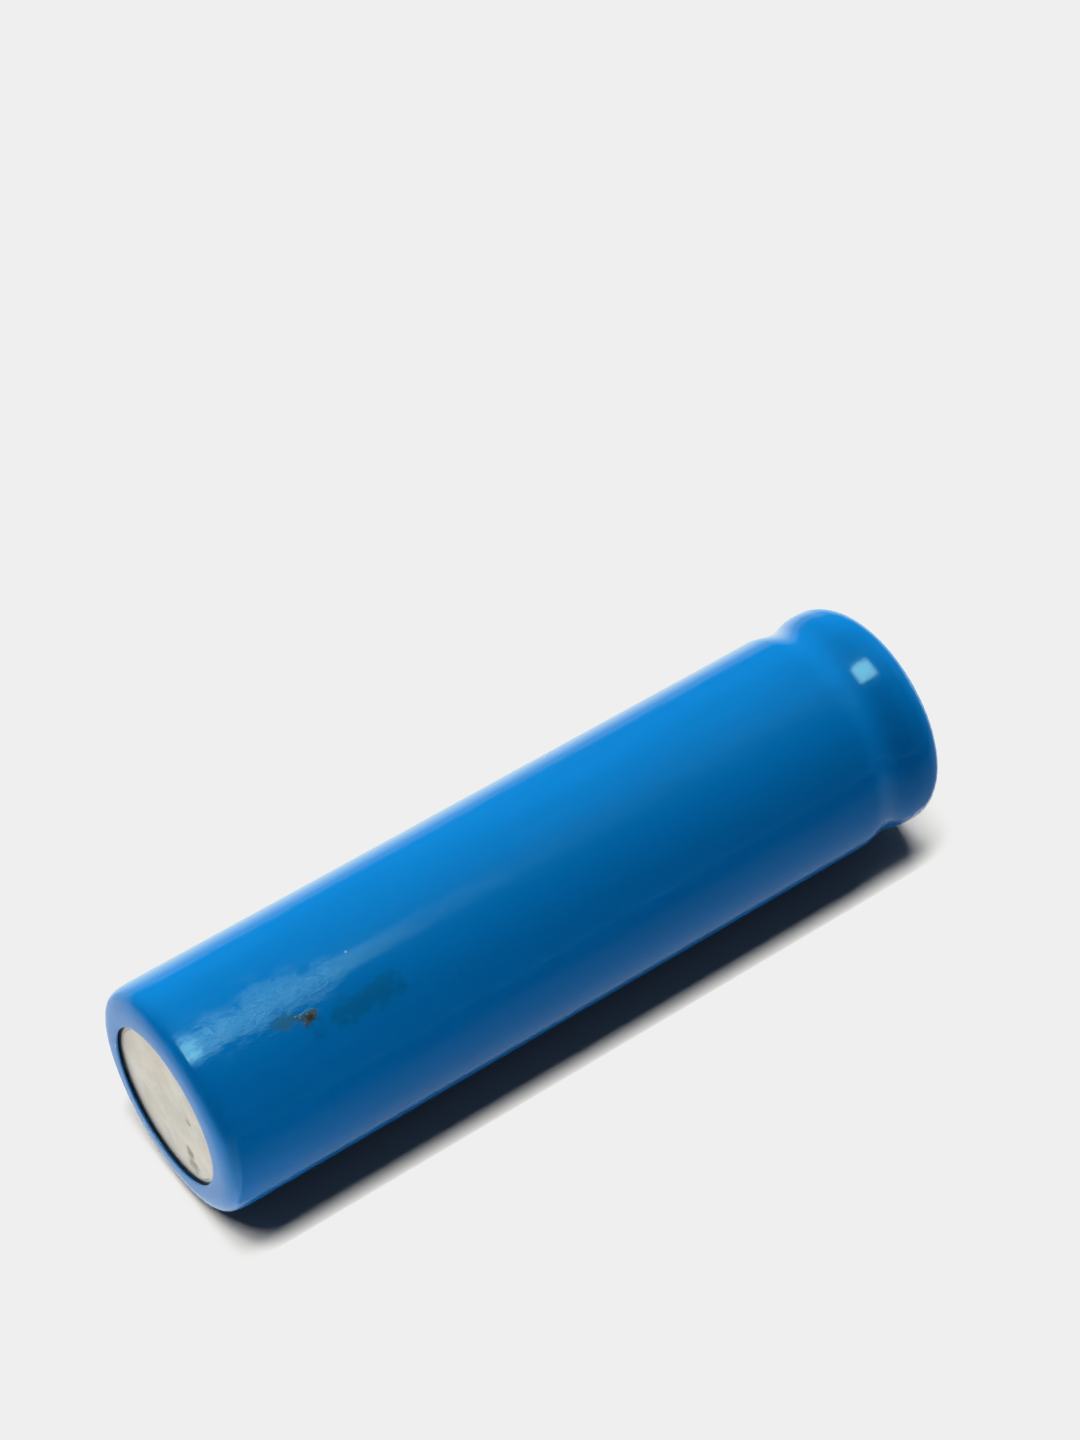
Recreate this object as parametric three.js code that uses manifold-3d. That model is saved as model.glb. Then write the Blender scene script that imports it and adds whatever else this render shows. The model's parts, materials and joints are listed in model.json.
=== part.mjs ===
// Cylindrical rechargeable lithium-ion cell, 18650 size, in a heat-shrunk sleeve. Units are millimetres.
//
// The cell lies on its side on z = 0. Its axis runs along +X, from the negative end to the positive end,
// and the origin is on the surface under the middle of the cell. Every part is drawn about its own local
// Y axis, with "station" the distance along the axis from the sleeve's negative lip, and one outer group
// lays the cell down.
import * as THREE from "three";
import { mergeVertices } from "three/addons/utils/BufferGeometryUtils.js";
import Module from "manifold-3d";

const wasm = await Module();
wasm.setup();

// ---------------------------------------------------------------- driving dimensions

const CELL_LENGTH = 65.2; // sleeve's negative lip to the positive contact face
const SLEEVE_RADIUS = 9.15;
const CAP_PROUD = 0.2; // how far the positive contact stands past the sleeve
const FILM = 0.15; // sleeve film
const FIT = 0.02; // clearance between parts that touch
const CAN_WALL = 0.22;
const CAN_FLOOR = 0.3;
const CRIMP_WALL = 0.25;

const NEGATIVE_RECESS = 0.4; // sleeve lip to the bare negative contact
const CONTACT_STEP = 0.05; // the negative contact is a disc pressed out this far
const NEGATIVE_HOLE = 6.45; // radius of the sleeve's opening at the negative end
const POSITIVE_HOLE = 6.3; // and at the positive end
const CONTACT_RADIUS = 6.05;

const BEAD_FROM_END = 4.15; // middle of the rolled groove, from the sleeve's positive end
const BEAD_DEPTH = 1.3; // in the can
const BEAD_HALF_WIDTH = 2.05;
const SLEEVE_BEAD_DEPTH = 0.95; // the film bridges the groove, so it dips less
const SLEEVE_BEAD_HALF_WIDTH = 2.0;

const CROWN_AXIAL = 1.6; // the crimp rolls over on an ellipse of these half axes
const CROWN_RADIAL = 0.95;

const STACK_RADIUS = 8.15; // cap flange, PTC ring and vent disc
const WASHER_INNER = 5.7;
const WASHER_OUTER = 8.0;
const WASHER_THICK = 0.25;
const CRIMP_INNER = 6.6;
const GASKET_UPPER = 0.43; // flange thicknesses of the gasket
const GASKET_LOWER = 0.45;
const CAP_SHEET = 0.34;
const PTC_THICK = 0.34;
const VENT_SHEET = 0.28;

const BUTTON_RADIUS = 4.3; // flat top of the positive contact
const BUTTON_FOOT = 5.3; // where its skirt meets the flange
const VENT_WINDOWS = 4;
const WINDOW_WIDTH = 2.0;
const WINDOW_HEIGHT = 0.62;

const VENT_DISH = 0.78; // depth of the burst disc's dish
const CID_RADIUS = 5.6;
const CID_THICK = 0.38;
const CID_SPACER_THICK = 0.5;
const CID_HOLES = 6;
const CID_HOLE_RADIUS = 0.6;
const CID_HOLE_CIRCLE = 2.55;

const PIN_RADIUS = 1.45;
const PIN_WALL = 0.3;
const PIN_SLIT = 0.4;

const WINDING_START = 1.75; // inner radius of the first turn
const ELECTRODE = 0.24; // coated sheet
const SEPARATOR = 0.055;
const WINDING_GAP = 0.0125;
const TAPE = 0.05;
const TAB_SHEET = 0.12;
const TAB_WIDTH = 3.2;
const TAB_FOLD = 0.71; // clear height inside the positive tab's fold
const INSULATOR = 0.2;
const INSULATOR_GAP = 0.05; // above and below the insulating discs

const SIDES = 32; // flats round every turned part; a flat is under the cell, so that it doesn't roll
const FLAT_TO_CORNER = 1 / Math.cos(Math.PI / SIDES); // radii are measured to the flats
const CROWN_STEPS = 4; // straight steps in a rounded edge
const BEAD_STEPS = 8; // and across the rolled groove
const STEPS_PER_TURN = 16; // of the wound strips

// ---------------------------------------------------------------- stations along the axis

const below = (upper, thickness) => ({ top: upper.bottom - FIT, bottom: upper.bottom - FIT - thickness });

const SLEEVE_END = CELL_LENGTH - CAP_PROUD;
const FILM_RING = { top: SLEEVE_END, bottom: SLEEVE_END - FILM };
const WASHER = below(FILM_RING, WASHER_THICK);
const CRIMP = below(WASHER, CRIMP_WALL);
const GASKET_LIP = below(CRIMP, GASKET_UPPER);
const CAP_FLANGE = below(GASKET_LIP, CAP_SHEET);
const PTC = below(CAP_FLANGE, PTC_THICK);
const VENT_FLANGE = below(PTC, VENT_SHEET);
const GASKET_SEAT = below(VENT_FLANGE, GASKET_LOWER);

const VENT_WEB = { top: VENT_FLANGE.top - VENT_DISH, bottom: VENT_FLANGE.bottom - VENT_DISH };
const CID_SPACER = below(VENT_WEB, CID_SPACER_THICK);
const CID_BASE = below(CID_SPACER, CID_THICK);
const CID_TAB_RUN = below(CID_BASE, TAB_SHEET);
const ROLL_TAB_TOP = CID_TAB_RUN.bottom - TAB_FOLD;
const ROLL_TAB_RUN = { top: ROLL_TAB_TOP, bottom: ROLL_TAB_TOP - TAB_SHEET };

const BEAD = SLEEVE_END - BEAD_FROM_END;
const CROWN_START = CRIMP.top - CROWN_AXIAL;
const CAN_RADIUS = SLEEVE_RADIUS - FILM - FIT;
const CAN_INNER = CAN_RADIUS - CAN_WALL;

const CONTACT_FACE = NEGATIVE_RECESS;
const CAN_BASE = CONTACT_FACE + CONTACT_STEP;
const FLOOR_FACE = CAN_BASE + CAN_FLOOR;
const NEGATIVE_TAB_RUN = { bottom: FLOOR_FACE + FIT, top: FLOOR_FACE + FIT + TAB_SHEET };
const insulatorAbove = (station) => ({
  bottom: station + INSULATOR_GAP,
  top: station + INSULATOR_GAP + INSULATOR,
});
const inset = (level, margin) => ({ bottom: level.bottom + margin, top: level.top - margin });

const LOWER_INSULATOR = insulatorAbove(NEGATIVE_TAB_RUN.top);
const ROLL = { bottom: LOWER_INSULATOR.top + INSULATOR_GAP, top: 58.9 }; // the separators' width
const ANODE = inset(ROLL, 0.5);
const CATHODE = inset(ROLL, 1.1);
const UPPER_INSULATOR = insulatorAbove(ROLL.top);

// ---------------------------------------------------------------- finishes

function finish(color, roughness, metalness) {
  return new THREE.MeshStandardMaterial({ color, roughness, metalness });
}

const BLUE_PVC = finish(0x0a63b0, 0.3, 0);
const NICKEL_PLATE = finish(0xcdcbbf, 0.42, 1);
const ALUMINIUM = finish(0xb9bcc0, 0.4, 1);
const WHITE_FIBRE = finish(0xe9e6dc, 0.85, 0);
const BLACK_POLYMER = finish(0x1e1f22, 0.6, 0);
const CLEAR_POLYMER = finish(0xd9dcd8, 0.5, 0);
const CATHODE_COAT = finish(0x24262a, 0.8, 0);
const ANODE_COAT = finish(0x3a3634, 0.75, 0);
const SEPARATOR_FILM = finish(0xf1f1ee, 0.55, 0);
const AMBER_TAPE = finish(0xb8741c, 0.4, 0);
const GREEN_TAPE = finish(0x3f9a63, 0.5, 0);

// ---------------------------------------------------------------- drawing helpers

/** A quarter ellipse from along the axis to square to it, as [station, radius] points. */
function crown(station, radius, axial, radial) {
  return Array.from({ length: CROWN_STEPS + 1 }, (_, i) => {
    const angle = (i / CROWN_STEPS) * (Math.PI / 2);
    return [station + axial * Math.sin(angle), radius + radial * Math.cos(angle)];
  });
}

/** How much of the groove's depth is reached at a distance from its middle: 1 there, 0 at its edge. */
function dip(distance, halfWidth) {
  const share = Math.min(Math.abs(distance) / halfWidth, 1);
  return 0.5 * (1 + Math.cos(Math.PI * share));
}

/** The rolled groove, as [station, radius] points from its negative edge to its positive one. */
function groove(radius, depth, halfWidth) {
  return Array.from({ length: BEAD_STEPS + 1 }, (_, i) => {
    const distance = ((2 * i) / BEAD_STEPS - 1) * halfWidth;
    return [BEAD + distance, radius - depth * dip(distance, halfWidth)];
  });
}

/** Inner radius of the can's wall beside the bead. */
function canInnerAt(station) {
  return CAN_INNER - BEAD_DEPTH * dip(station - BEAD, BEAD_HALF_WIDTH + CAN_WALL);
}

/** Turns an outline of [station, radius] points round the axis, outwards along the lower face first. */
function turned(outline) {
  const points = outline.map(([station, radius]) => new THREE.Vector2(radius * FLAT_TO_CORNER, station));
  return new THREE.LatheGeometry(points, SIDES, Math.PI / SIDES);
}

/** Turns an outline that doesn't reach the axis. */
const turnedRing = (outline) => turned([...outline, outline[0]]);

/** A flat ring or disc between two radii. */
function flatRing(level, inner, outer) {
  return turnedRing([[level.bottom, inner], [level.bottom, outer], [level.top, outer], [level.top, inner]]);
}

function disc(level, radius) {
  return turned([[level.bottom, 0], [level.bottom, radius], [level.top, radius], [level.top, 0]]);
}

/** A box from one corner to the other, each [x, station, z]. */
function block(low, high) {
  const size = high.map((value, axis) => value - low[axis]);
  const middle = high.map((value, axis) => (value + low[axis]) / 2);
  return new THREE.BoxGeometry(...size).translate(...middle);
}

/** An upright round cutter at [x, z]. */
function drill(level, radius, x, z) {
  const length = level.top - level.bottom + 2;
  const middle = (level.top + level.bottom) / 2;
  return new THREE.CylinderGeometry(radius, radius, length, 12).translate(x, middle, z);
}

/** A closed three.js geometry as a manifold-3d solid. */
function solid(geometry) {
  const bare = geometry.index ? geometry.toNonIndexed() : geometry.clone();
  bare.deleteAttribute("normal");
  bare.deleteAttribute("uv");
  const merged = mergeVertices(bare, 1e-4);
  return new wasm.Manifold(
    new wasm.Mesh({
      numProp: 3,
      vertProperties: merged.getAttribute("position").array,
      triVerts: new Uint32Array(merged.index.array),
    }),
  );
}

/** A manifold-3d solid back as a geometry. */
function geometryOf(body) {
  const mesh = body.getMesh();
  const geometry = new THREE.BufferGeometry();
  geometry.setAttribute("position", new THREE.BufferAttribute(mesh.vertProperties, 3));
  geometry.setIndex(new THREE.BufferAttribute(mesh.triVerts, 1));
  geometry.computeVertexNormals();
  return geometry;
}

/** One geometry with others cut out of it. */
function cut(geometry, cutters) {
  return geometryOf(cutters.reduce((body, cutter) => body.subtract(solid(cutter)), solid(geometry)));
}

const joined = (a, b) => geometryOf(solid(a).add(solid(b)));

// ---------------------------------------------------------------- the wound core

const LAYER = ELECTRODE + SEPARATOR + 2 * WINDING_GAP;
const PITCH = 2 * LAYER; // one separator, the cathode, the other separator and the anode
const OFFSET = {
  innerSeparator: 0,
  cathode: SEPARATOR + WINDING_GAP,
  outerSeparator: LAYER,
  anode: LAYER + SEPARATOR + WINDING_GAP,
};
const stepAngle = (step) => (step / STEPS_PER_TURN) * 2 * Math.PI;
const windingRadius = (step, offset) => WINDING_START + offset + (PITCH * step) / STEPS_PER_TURN;

/** A wound strip seen along the axis. All strips share the same corners, so that they nest. */
function windingShape(offset, thickness, run) {
  const corner = (step, extra) => {
    const radius = windingRadius(step, offset + extra);
    return new THREE.Vector2(radius * Math.cos(stepAngle(step)), radius * Math.sin(stepAngle(step)));
  };
  const steps = Array.from({ length: run.last - run.first + 1 }, (_, i) => run.first + i);
  const outside = steps.map((step) => corner(step, thickness));
  const inside = steps.map((step) => corner(step, 0)).reverse();
  return new THREE.Shape([...outside, ...inside]);
}

function wound(level, offset, thickness, run) {
  const shape = windingShape(offset, thickness, run);
  const options = { depth: level.top - level.bottom, bevelEnabled: false, curveSegments: 1 };
  return new THREE.ExtrudeGeometry(shape, options).rotateX(-Math.PI / 2).translate(0, level.bottom, 0);
}

// the steps of the spiral that each strip covers
const CATHODE_RUN = { first: 6, last: 146 };
const ANODE_RUN = { first: 2, last: 152 };
const INNER_SEPARATOR_RUN = { first: 0, last: 168 };
const OUTER_SEPARATOR_RUN = { first: 0, last: 160 };
const TAPE_RUN = { first: 163, last: 170 };
const CATHODE_TAB_STEP = 64; // four turns in, on the local +X side
const ANODE_TAB_STEP = 150; // near the outer end of the anode

const CATHODE_TAB_RADIUS = windingRadius(CATHODE_TAB_STEP, OFFSET.cathode + ELECTRODE / 2);
const ANODE_TAB_RADIUS = windingRadius(ANODE_TAB_STEP + 0.5, OFFSET.anode + ELECTRODE / 2);
const ANODE_TAB_ANGLE = stepAngle(ANODE_TAB_STEP + 0.5);
const TAB_OFFSET = (ELECTRODE - TAB_SHEET) / 2;

function cathodeSheet() {
  return wound(CATHODE, OFFSET.cathode, ELECTRODE, CATHODE_RUN);
}

function anodeSheet() {
  return wound(ANODE, OFFSET.anode, ELECTRODE, ANODE_RUN);
}

function innerSeparator() {
  return wound(ROLL, OFFSET.innerSeparator, SEPARATOR, INNER_SEPARATOR_RUN);
}

function outerSeparator() {
  return wound(ROLL, OFFSET.outerSeparator, SEPARATOR, OUTER_SEPARATOR_RUN);
}

/** The strip of tape that holds the last turn shut. */
function windingTape() {
  return wound(inset(ROLL, 3), SEPARATOR + WINDING_GAP, TAPE, TAPE_RUN);
}

/** The slit steel tube that the core is wound round. */
function centrePin() {
  const level = inset(ROLL, 0.4);
  const tube = flatRing(level, PIN_RADIUS - PIN_WALL, PIN_RADIUS);
  const slit = block([0, level.bottom - 1, -PIN_SLIT / 2], [PIN_RADIUS * 2, level.top + 1, PIN_SLIT / 2]);
  return cut(tube, [slit]);
}

/** Aluminium ribbon: rises from the cathode, crosses the core and folds back to the CID base plate. */
function positiveTab() {
  const rootLevel = { bottom: CATHODE.top + FIT, top: ROLL_TAB_RUN.top - TAB_SHEET / 2 };
  const rootRun = { first: CATHODE_TAB_STEP - 1, last: CATHODE_TAB_STEP + 1 };
  const root = wound(rootLevel, OFFSET.cathode + TAB_OFFSET, TAB_SHEET, rootRun);
  const foldX = -3.4;
  const weldX = 1.6;
  const rootX = CATHODE_TAB_RADIUS + TAB_SHEET / 2;
  const middle = (CID_TAB_RUN.top + ROLL_TAB_RUN.bottom) / 2;
  const outerBend = (CID_TAB_RUN.top - ROLL_TAB_RUN.bottom) / 2;
  const ribbon = new THREE.Shape();
  ribbon.moveTo(rootX, ROLL_TAB_RUN.bottom);
  ribbon.lineTo(rootX, ROLL_TAB_RUN.top);
  ribbon.lineTo(foldX, ROLL_TAB_RUN.top);
  ribbon.absarc(foldX, middle, outerBend - TAB_SHEET, -Math.PI / 2, Math.PI / 2, true);
  ribbon.lineTo(weldX, CID_TAB_RUN.bottom);
  ribbon.lineTo(weldX, CID_TAB_RUN.top);
  ribbon.lineTo(foldX, CID_TAB_RUN.top);
  ribbon.absarc(foldX, middle, outerBend, Math.PI / 2, -Math.PI / 2, false);
  const options = { depth: TAB_WIDTH, bevelEnabled: false, curveSegments: 8 };
  return joined(new THREE.ExtrudeGeometry(ribbon, options).translate(0, 0, -TAB_WIDTH / 2), root);
}

/** Insulating tape wrapped round the positive tab where it crosses the core. */
function tabTape() {
  const half = TAB_WIDTH / 2 + FIT;
  const { bottom, top } = ROLL_TAB_RUN;
  const outside = block([0.4, bottom - FIT - TAPE, -half - TAPE], [3.1, top + FIT + TAPE, half + TAPE]);
  const inside = block([-1, bottom - FIT, -half], [5, top + FIT, half]);
  return cut(outside, [inside]);
}

/** Nickel ribbon: drops from the anode's last turn and crosses the can's floor to the weld at its middle. */
function negativeTab() {
  const rootLevel = { bottom: NEGATIVE_TAB_RUN.bottom, top: ANODE.bottom - FIT };
  const rootRun = { first: ANODE_TAB_STEP, last: ANODE_TAB_STEP + 1 };
  const root = wound(rootLevel, OFFSET.anode + TAB_OFFSET, TAB_SHEET, rootRun);
  const reach = ANODE_TAB_RADIUS * Math.cos(Math.PI / STEPS_PER_TURN);
  const pastMiddle = -2.2;
  const halfWidth = 1.4;
  const run = block(
    [pastMiddle, NEGATIVE_TAB_RUN.bottom, -halfWidth], [reach, NEGATIVE_TAB_RUN.top, halfWidth],
  ).rotateY(ANODE_TAB_ANGLE);
  return joined(run, root);
}

/** Insulating disc over the core: a hole over the pin, breathing holes and a slot for the positive tab. */
function upperInsulator() {
  const level = UPPER_INSULATOR;
  const holeCircle = 5.2;
  const breathing = [1, 2, 3, 4, 5].map((i) => {
    const angle = (i / 6) * 2 * Math.PI;
    return drill(level, 1.0, holeCircle * Math.cos(angle), holeCircle * Math.sin(angle));
  });
  const slot = block(
    [CATHODE_TAB_RADIUS - 0.75, level.bottom - 1, -2], [CATHODE_TAB_RADIUS + 0.5, level.top + 1, 2],
  );
  return cut(disc(level, 8.3), [drill(level, 1.5, 0, 0), ...breathing, slot]);
}

/** Insulating disc under the core, open at the middle for the weld and notched for the negative tab. */
function lowerInsulator() {
  const notch = block(
    [ANODE_TAB_RADIUS - 0.6, LOWER_INSULATOR.bottom - 1, -2], [CAN_RADIUS, LOWER_INSULATOR.top + 1, 2],
  ).rotateY(ANODE_TAB_ANGLE);
  return cut(disc(LOWER_INSULATOR, 8.4), [drill(LOWER_INSULATOR, 2.0, 0, 0), notch]);
}

// ---------------------------------------------------------------- the cap assembly

/** Pressed steel hat with a flat contact and gas windows round its skirt. */
function positiveCap() {
  const top = CELL_LENGTH;
  const hat = turned([
    [top - CAP_SHEET, 0],
    [top - CAP_SHEET, BUTTON_RADIUS - CAP_SHEET],
    [CAP_FLANGE.bottom, BUTTON_FOOT - CAP_SHEET],
    [CAP_FLANGE.bottom, STACK_RADIUS],
    [CAP_FLANGE.top, STACK_RADIUS],
    [CAP_FLANGE.top, BUTTON_FOOT + 0.15],
    [CAP_FLANGE.top + 0.15, BUTTON_FOOT],
    [top - 0.3, BUTTON_RADIUS + 0.22],
    [top - 0.08, BUTTON_RADIUS + 0.1],
    [top, BUTTON_RADIUS - 0.15],
    [top, 0],
  ]);
  const low = CAP_FLANGE.top + 0.12;
  const windows = Array.from({ length: VENT_WINDOWS }, (_, i) =>
    block([3, low, -WINDOW_WIDTH / 2], [7, low + WINDOW_HEIGHT, WINDOW_WIDTH / 2]).rotateY(
      ((i + 0.5) / VENT_WINDOWS) * 2 * Math.PI,
    ),
  );
  return cut(hat, windows);
}

/** Aluminium burst disc: a dished plate with a score line, and a dimple welded to the CID base plate. */
function ventDisc() {
  const dimpleBottom = CID_BASE.top + FIT;
  const scoreRadius = 3.9;
  const scoreHalfWidth = 0.16;
  const scoreDepth = 0.13;
  return turned([
    [dimpleBottom, 0],
    [dimpleBottom, 1.0],
    [VENT_WEB.bottom, 1.5],
    [VENT_WEB.bottom, 5.3],
    [VENT_FLANGE.bottom, 6.0],
    [VENT_FLANGE.bottom, STACK_RADIUS],
    [VENT_FLANGE.top, STACK_RADIUS],
    [VENT_FLANGE.top, 5.8],
    [VENT_WEB.top, 5.1],
    [VENT_WEB.top, scoreRadius + scoreHalfWidth],
    [VENT_WEB.top - scoreDepth, scoreRadius],
    [VENT_WEB.top, scoreRadius - scoreHalfWidth],
    [VENT_WEB.top, 1.3],
    [dimpleBottom + VENT_SHEET, 0.8],
    [dimpleBottom + VENT_SHEET, 0],
  ]);
}

/** Plastic ring that keeps the burst disc off the CID base plate and grips the plate's rim. */
function cidInsulator() {
  const skirt = CID_BASE.bottom + 0.12;
  return turnedRing([
    [CID_SPACER.bottom, 3.3],
    [CID_SPACER.bottom, CID_RADIUS + FIT],
    [skirt, CID_RADIUS + FIT],
    [skirt, 6.0],
    [CID_SPACER.top - 0.15, 6.0],
    [CID_SPACER.top, 5.2],
    [CID_SPACER.top, 3.3],
  ]);
}

/** Aluminium plate that carries the positive tab, with gas holes. */
function cidBasePlate() {
  const holes = Array.from({ length: CID_HOLES }, (_, i) => {
    const angle = ((i + 0.5) / CID_HOLES) * 2 * Math.PI;
    const x = CID_HOLE_CIRCLE * Math.cos(angle);
    const z = CID_HOLE_CIRCLE * Math.sin(angle);
    return drill(CID_BASE, CID_HOLE_RADIUS, x, z);
  });
  return cut(disc(CID_BASE, CID_RADIUS), holes);
}

/** Plastic seal that wraps the rim of the cap stack, squeezed between the bead and the crimp. */
function sealGasket() {
  const wall = STACK_RADIUS + FIT;
  const flank = [0, 0.35, 0.75].map((rise) => {
    const station = GASKET_SEAT.bottom + rise;
    return [station, canInnerAt(station) - FIT];
  });
  return turnedRing([
    [GASKET_SEAT.bottom, 6.4],
    ...flank,
    ...crown(CROWN_START, WASHER_OUTER, GASKET_LIP.top - CROWN_START, CAN_INNER - FIT - WASHER_OUTER),
    [GASKET_LIP.top, 6.9],
    [GASKET_LIP.bottom, 6.75],
    [GASKET_LIP.bottom, wall],
    [GASKET_SEAT.top, wall],
    [GASKET_SEAT.top, 6.4],
  ]);
}

// ---------------------------------------------------------------- the casing

/** Deep-drawn steel can: contact disc and floor, rolled bead, and the crimp over the gasket. */
function cellCan() {
  const corner = 0.5;
  const innerCorner = 0.25;
  const crownRadius = CAN_RADIUS - CROWN_RADIAL;
  return turned([
    [CONTACT_FACE, 0],
    [CONTACT_FACE, CONTACT_RADIUS],
    [CAN_BASE, CONTACT_RADIUS + 0.08],
    ...crown(CAN_BASE + corner, CAN_RADIUS - corner, -corner, corner).reverse(),
    ...groove(CAN_RADIUS, BEAD_DEPTH, BEAD_HALF_WIDTH),
    ...crown(CROWN_START, crownRadius, CROWN_AXIAL, CROWN_RADIAL),
    [CRIMP.top, CRIMP_INNER],
    [CRIMP.bottom, CRIMP_INNER],
    ...crown(CROWN_START, crownRadius, CROWN_AXIAL - CRIMP_WALL, CROWN_RADIAL - CAN_WALL).reverse(),
    ...groove(CAN_INNER, BEAD_DEPTH, BEAD_HALF_WIDTH + CAN_WALL).reverse().slice(1),
    [FLOOR_FACE + innerCorner, CAN_INNER],
    [FLOOR_FACE, CAN_INNER - innerCorner],
    [FLOOR_FACE, 0],
  ]);
}

/** White fibre washer between the crimp and the sleeve, round the positive contact. */
function topWasher() {
  return flatRing(WASHER, WASHER_INNER, WASHER_OUTER);
}

/** Blue shrink sleeve: folds over both ends and dips into the bead; its negative lip stands off the can. */
function shrinkSleeve() {
  const edge = 0.55; // rounding of the negative edge
  const edgeRadius = SLEEVE_RADIUS - edge;
  const edgeStation = 0.17 + edge;
  const crownRadius = SLEEVE_RADIUS - 1.0;
  const crownAxial = SLEEVE_END - CROWN_START;
  const inner = SLEEVE_RADIUS - FILM;
  return turnedRing([
    [0.07, NEGATIVE_HOLE],
    [0, NEGATIVE_HOLE + 0.09],
    [0, 7.5],
    ...crown(edgeStation, edgeRadius, -edge, edge).reverse(),
    ...groove(SLEEVE_RADIUS, SLEEVE_BEAD_DEPTH, SLEEVE_BEAD_HALF_WIDTH),
    ...crown(CROWN_START, crownRadius, crownAxial, 1.0),
    [SLEEVE_END, POSITIVE_HOLE],
    [SLEEVE_END - FILM, POSITIVE_HOLE],
    ...crown(CROWN_START, crownRadius, crownAxial - FILM, 1.0 - FILM).reverse(),
    ...groove(inner, SLEEVE_BEAD_DEPTH, SLEEVE_BEAD_HALF_WIDTH).reverse(),
    ...crown(edgeStation, edgeRadius, FILM - edge, edge - FILM),
    [FILM, 7.5],
    [FILM, NEGATIVE_HOLE + 0.02],
  ]);
}

// ---------------------------------------------------------------- assembly

function part(name, geometry, material) {
  const mesh = new THREE.Mesh(geometry, material);
  mesh.name = name;
  return mesh;
}

const casing = new THREE.Group().add(
  part("shrink_sleeve", shrinkSleeve(), BLUE_PVC),
  part("cell_can", cellCan(), NICKEL_PLATE),
  part("top_washer", topWasher(), WHITE_FIBRE),
);

const capAssembly = new THREE.Group().add(
  part("positive_cap", positiveCap(), NICKEL_PLATE),
  part("ptc_ring", flatRing(PTC, 4.9, STACK_RADIUS), BLACK_POLYMER),
  part("vent_disc", ventDisc(), ALUMINIUM),
  part("cid_insulator", cidInsulator(), CLEAR_POLYMER),
  part("cid_base_plate", cidBasePlate(), ALUMINIUM),
  part("seal_gasket", sealGasket(), CLEAR_POLYMER),
);

const woundCore = new THREE.Group().add(
  part("cathode_sheet", cathodeSheet(), CATHODE_COAT),
  part("anode_sheet", anodeSheet(), ANODE_COAT),
  part("separator_inner", innerSeparator(), SEPARATOR_FILM),
  part("separator_outer", outerSeparator(), SEPARATOR_FILM),
  part("winding_tape", windingTape(), GREEN_TAPE),
  part("centre_pin", centrePin(), NICKEL_PLATE),
  part("positive_tab", positiveTab(), ALUMINIUM),
  part("tab_tape", tabTape(), AMBER_TAPE),
  part("negative_tab", negativeTab(), NICKEL_PLATE),
  part("top_insulator", upperInsulator(), WHITE_FIBRE),
  part("bottom_insulator", lowerInsulator(), WHITE_FIBRE),
);

const upright = new THREE.Group().add(casing, capAssembly, woundCore);
upright.rotation.z = -Math.PI / 2; // local +Y, the cell's axis, becomes +X
upright.position.set(-CELL_LENGTH / 2, 0, SLEEVE_RADIUS);

const cell = new THREE.Group().add(upright);

export default cell;
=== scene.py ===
"""Looks of a cylindrical rechargeable battery cell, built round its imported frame.

The cell lies along X on the floor. Its outlines are drawn in millimetres as (station, radius)
points, where the station is the distance from the sleeve's negative lip and the radius is
measured from the cell's axis.
"""

import json
import math

import bmesh
import bpy
from bpy.props import FloatProperty, FloatVectorProperty, IntProperty, PointerProperty
from mathutils import Matrix, Vector, noise


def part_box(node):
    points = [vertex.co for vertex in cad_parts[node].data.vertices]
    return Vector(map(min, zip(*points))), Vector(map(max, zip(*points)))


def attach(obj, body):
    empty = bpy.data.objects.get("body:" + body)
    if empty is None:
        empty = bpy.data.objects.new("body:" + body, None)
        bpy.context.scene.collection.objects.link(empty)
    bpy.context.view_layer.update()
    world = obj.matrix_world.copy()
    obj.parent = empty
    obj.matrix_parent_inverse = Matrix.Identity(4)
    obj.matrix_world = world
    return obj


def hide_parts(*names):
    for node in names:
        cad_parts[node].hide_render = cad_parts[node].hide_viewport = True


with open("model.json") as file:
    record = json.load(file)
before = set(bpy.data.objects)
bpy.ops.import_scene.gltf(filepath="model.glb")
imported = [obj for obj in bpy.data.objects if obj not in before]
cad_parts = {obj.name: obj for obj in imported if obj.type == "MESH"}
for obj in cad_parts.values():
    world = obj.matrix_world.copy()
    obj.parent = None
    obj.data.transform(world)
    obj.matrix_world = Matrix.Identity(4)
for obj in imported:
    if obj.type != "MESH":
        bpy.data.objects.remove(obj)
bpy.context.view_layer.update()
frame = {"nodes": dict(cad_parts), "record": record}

bl_info = {
    "name": "Battery cell looks",
    "version": (1, 0, 0),
    "blender": (4, 5, 0),
    "location": "3D View > Sidebar > Cell",
    "description": "Builds the sleeve, can and contacts of a cylindrical cell round its frame",
    "category": "Object",
}

MM = 0.001
SLEEVE_LOW, SLEEVE_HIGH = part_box("shrink_sleeve")
AXIS_HEIGHT = (SLEEVE_LOW.z + SLEEVE_HIGH.z) / 2
FIRST_STATION = SLEEVE_LOW.x
SLEEVE_LENGTH = SLEEVE_HIGH.x - SLEEVE_LOW.x
CAP_LOW, CAP_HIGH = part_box("positive_cap")


# ---------------------------------------------------------------- settings


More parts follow.
